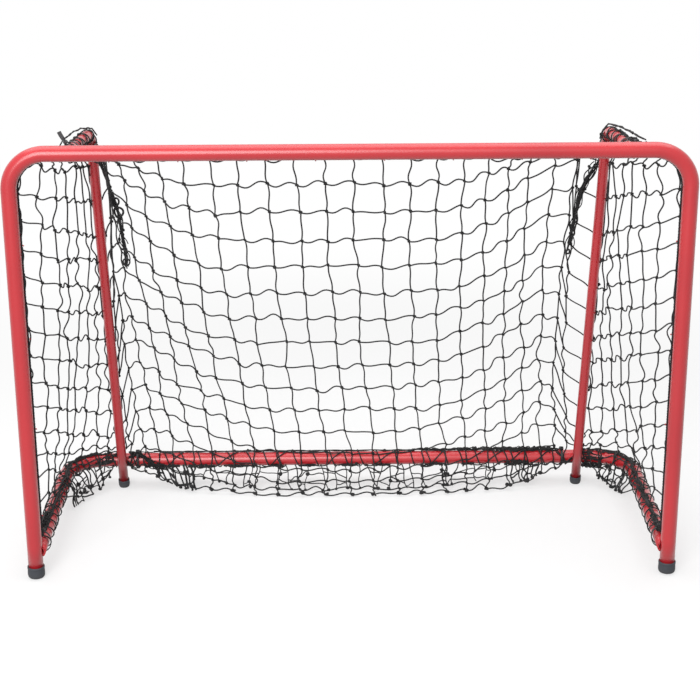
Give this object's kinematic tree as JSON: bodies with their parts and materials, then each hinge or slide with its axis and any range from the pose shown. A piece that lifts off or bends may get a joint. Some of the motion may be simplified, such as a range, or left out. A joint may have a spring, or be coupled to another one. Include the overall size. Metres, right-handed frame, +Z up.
{
  "type": "hockey goal",
  "caption": "Small steel hockey goal with a bent front frame, a base frame, two rear legs, rubber feet and a laced knotted net.",
  "frame": {"origin": "on the floor, in the middle of the goal from left to right and from front to back", "axes": "+X to the right as seen by the shooter, +Y from the mouth to the back of the goal, +Z up"},
  "size_m": [1.204, 0.463, 0.8385],
  "materials": {
    "red_powder_coat": "semi-gloss red powder coat on steel tube",
    "zinc_plated": "zinc plated steel fasteners",
    "black_rubber": "matt moulded rubber, slightly worn underneath",
    "black_nylon": "matt black moulded nylon",
    "black_twine": "knotted black polyethylene twine"
  },
  "bodies": {
    "root": {"front_frame": "red_powder_coat", "base_frame": "red_powder_coat", "left_rear_leg": "red_powder_coat", "right_rear_leg": "red_powder_coat", "left_base_spigot": "red_powder_coat", "left_arm_spigot": "red_powder_coat", "left_base_screw": "zinc_plated", "left_arm_screw": "zinc_plated", "left_leg_spacer": "black_nylon", "left_leg_bolt": "zinc_plated", "left_leg_nut": "zinc_plated", "right_base_spigot": "red_powder_coat", "right_arm_spigot": "red_powder_coat", "right_base_screw": "zinc_plated", "right_arm_screw": "zinc_plated", "right_leg_spacer": "black_nylon", "right_leg_bolt": "zinc_plated", "right_leg_nut": "zinc_plated", "left_front_foot": "black_rubber", "left_rear_foot": "black_rubber", "right_front_foot": "black_rubber", "right_rear_foot": "black_rubber", "border_rope": "black_twine", "crossbar_hook_1": "red_powder_coat", "crossbar_hook_2": "red_powder_coat", "crossbar_hook_3": "red_powder_coat", "crossbar_hook_4": "red_powder_coat", "crossbar_hook_5": "red_powder_coat", "crossbar_hook_6": "red_powder_coat", "crossbar_hook_7": "red_powder_coat", "crossbar_hook_8": "red_powder_coat", "left_post_hook_1": "red_powder_coat", "left_post_hook_2": "red_powder_coat", "left_post_hook_3": "red_powder_coat", "left_post_hook_4": "red_powder_coat", "right_post_hook_1": "red_powder_coat", "right_post_hook_2": "red_powder_coat", "right_post_hook_3": "red_powder_coat", "right_post_hook_4": "red_powder_coat", "net_back": "black_twine", "left_side_net": "black_twine", "right_side_net": "black_twine", "net_hem": "black_twine", "back_lacing": "black_twine", "left_lacing": "black_twine", "right_lacing": "black_twine", "left_arm_tie": "black_nylon", "left_front_tie": "black_nylon", "left_rear_tie": "black_nylon", "right_arm_tie": "black_nylon", "right_front_tie": "black_nylon", "right_rear_tie": "black_nylon"}
  },
  "joints": []
}
